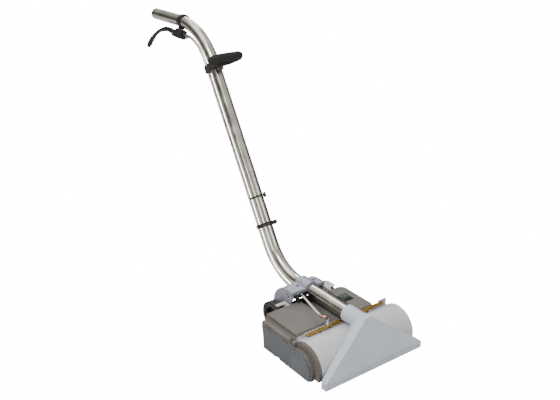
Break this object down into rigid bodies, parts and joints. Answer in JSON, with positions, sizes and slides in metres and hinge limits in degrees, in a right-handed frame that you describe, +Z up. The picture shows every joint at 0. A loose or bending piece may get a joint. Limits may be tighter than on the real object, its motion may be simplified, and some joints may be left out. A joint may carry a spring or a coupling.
{
  "type": "power-brush carpet cleaning wand",
  "caption": "S-bent vacuum lance with slotted floor shoe, trigger valve and loop grip, pivoted on a wheeled motor-driven brush unit with spray bar.",
  "frame": {"origin": "on the shoe's flat sole, at the middle of the front edge strip, on the floor", "axes": "+Z up from the floor, +Y from the shoe towards the grip, +X towards the switch side"},
  "size_m": [0.3744, 1.174, 0.8437],
  "materials": {
    "lance_steel": "polished stainless steel",
    "shoe_alloy": "light blue-grey satin coat",
    "bracket_alloy": "cast, matte speckle",
    "fasteners": "bright plated",
    "black_plastic": "fine grain",
    "brass": "drawn",
    "copper": "red brass",
    "foam": "closed-cell foam",
    "frame_paint": "off-white coat",
    "taupe_plastic": "moulded, satin",
    "slate_plastic": "moulded, satin",
    "hood_white": "off-white satin coat",
    "bearing_steel": "ground",
    "motor_iron": "varnished laminations",
    "roller_alloy": "turned",
    "belt_rubber": "ribbed",
    "hose_white": "smooth",
    "switch_green": "translucent green",
    "bristle": "nylon tufts",
    "tyre": "solid rubber"
  },
  "bodies": {
    "chassis": {"base_frame": "frame_paint", "motor_cover": "taupe_plastic", "belt_housing": "taupe_plastic", "belt_cover": "slate_plastic", "belt_cover_screw": "fasteners", "brush_hood": "hood_white", "hood_end_cap": "hood_white", "brush_bearing_left": "bearing_steel", "brush_bearing_right": "bearing_steel", "drive_belt": "belt_rubber", "motor_can": "motor_iron", "motor_end_cap": "black_plastic", "spray_bar": "brass", "bar_plug_left": "brass", "bar_plug_right": "brass", "nozzle_left": "brass", "nozzle_right": "brass", "spray_post": "fasteners", "spray_elbow": "copper", "spray_hose": "hose_white", "hose_manifold": "black_plastic", "switch_bezel": "black_plastic", "wheel_axle": "bearing_steel", "axle_cap_left": "fasteners", "axle_cap_right": "fasteners", "pivot_bolt_left": "fasteners", "pivot_bolt_right": "fasteners", "mains_inlet_gland": "black_plastic"},
    "wand": {"wand_tube": "lance_steel", "vacuum_shoe": "shoe_alloy", "clamp_cap": "bracket_alloy", "clamp_base": "bracket_alloy", "cheek_left": "bracket_alloy", "cheek_right": "bracket_alloy", "cap_screw_left": "fasteners", "cap_screw_right": "fasteners", "solution_tube": "lance_steel", "lower_clip": "black_plastic", "upper_clip": "black_plastic", "trigger_clamp": "black_plastic", "valve_body": "black_plastic", "valve_outlet": "black_plastic", "solution_inlet": "brass", "lever_pin": "fasteners"},
    "trigger": {"trigger_lever": "black_plastic"},
    "plunger": {"valve_plunger": "fasteners"},
    "handle": {"loop_handle": "foam", "handle_clamp": "black_plastic", "handle_screw": "black_plastic"},
    "brush": {"brush_shaft": "roller_alloy", "brush_bristles": "bristle", "brush_pulley": "roller_alloy"},
    "motor": {"motor_rotor": "motor_iron", "drive_pulley": "roller_alloy"},
    "rocker": {"switch_rocker": "switch_green"},
    "left_wheel": {"tyre_left": "tyre", "hub_left": "black_plastic"},
    "right_wheel": {"tyre_right": "tyre", "hub_right": "black_plastic"}
  },
  "joints": [
    {"name": "wand_tilt", "type": "hinge", "parent": "chassis", "child": "wand", "pos_m": [0, 0.318, 0.066], "axis": [-1, 0, 0], "range_deg": [0, 8]},
    {"name": "trigger_pull", "type": "hinge", "parent": "wand", "child": "trigger", "pos_m": [-0.02029, 1.012, 0.77675], "axis": [0.9063, 0, -0.4226], "range_deg": [0, 9], "stiffness_Nm_per_rad": 0.6, "springref_deg": -11.46},
    {"name": "plunger_slide", "type": "slide", "parent": "wand", "child": "plunger", "axis": [0, 1, 0], "range_m": [-0.0012, 0]},
    {"name": "handle_slide", "type": "slide", "parent": "wand", "child": "handle", "axis": [0, 0.5188, 0.8549], "range_m": [-0.2, 0]},
    {"name": "brush_spin", "type": "hinge", "parent": "chassis", "child": "brush", "pos_m": [0, 0.1, 0.0445], "axis": [1, 0, 0], "continuous": true},
    {"name": "motor_spin", "type": "hinge", "parent": "chassis", "child": "motor", "pos_m": [0, 0.225, 0.0465], "axis": [1, 0, 0], "continuous": true},
    {"name": "rocker_press", "type": "hinge", "parent": "chassis", "child": "rocker", "pos_m": [0.083, 0.227, 0.092], "axis": [1, 0, 0], "range_deg": [0, 14]},
    {"name": "left_wheel_spin", "type": "hinge", "parent": "chassis", "child": "left_wheel", "pos_m": [0, 0.342, 0.044], "axis": [1, 0, 0], "continuous": true},
    {"name": "right_wheel_spin", "type": "hinge", "parent": "chassis", "child": "right_wheel", "pos_m": [0, 0.342, 0.044], "axis": [1, 0, 0], "continuous": true}
  ],
  "couplings": [
    {"joint": "motor_spin", "follows": "brush_spin", "ratio": 1.8},
    {"joint": "plunger_slide", "follows": "trigger_pull", "m_per_rad": -0.0065}
  ]
}
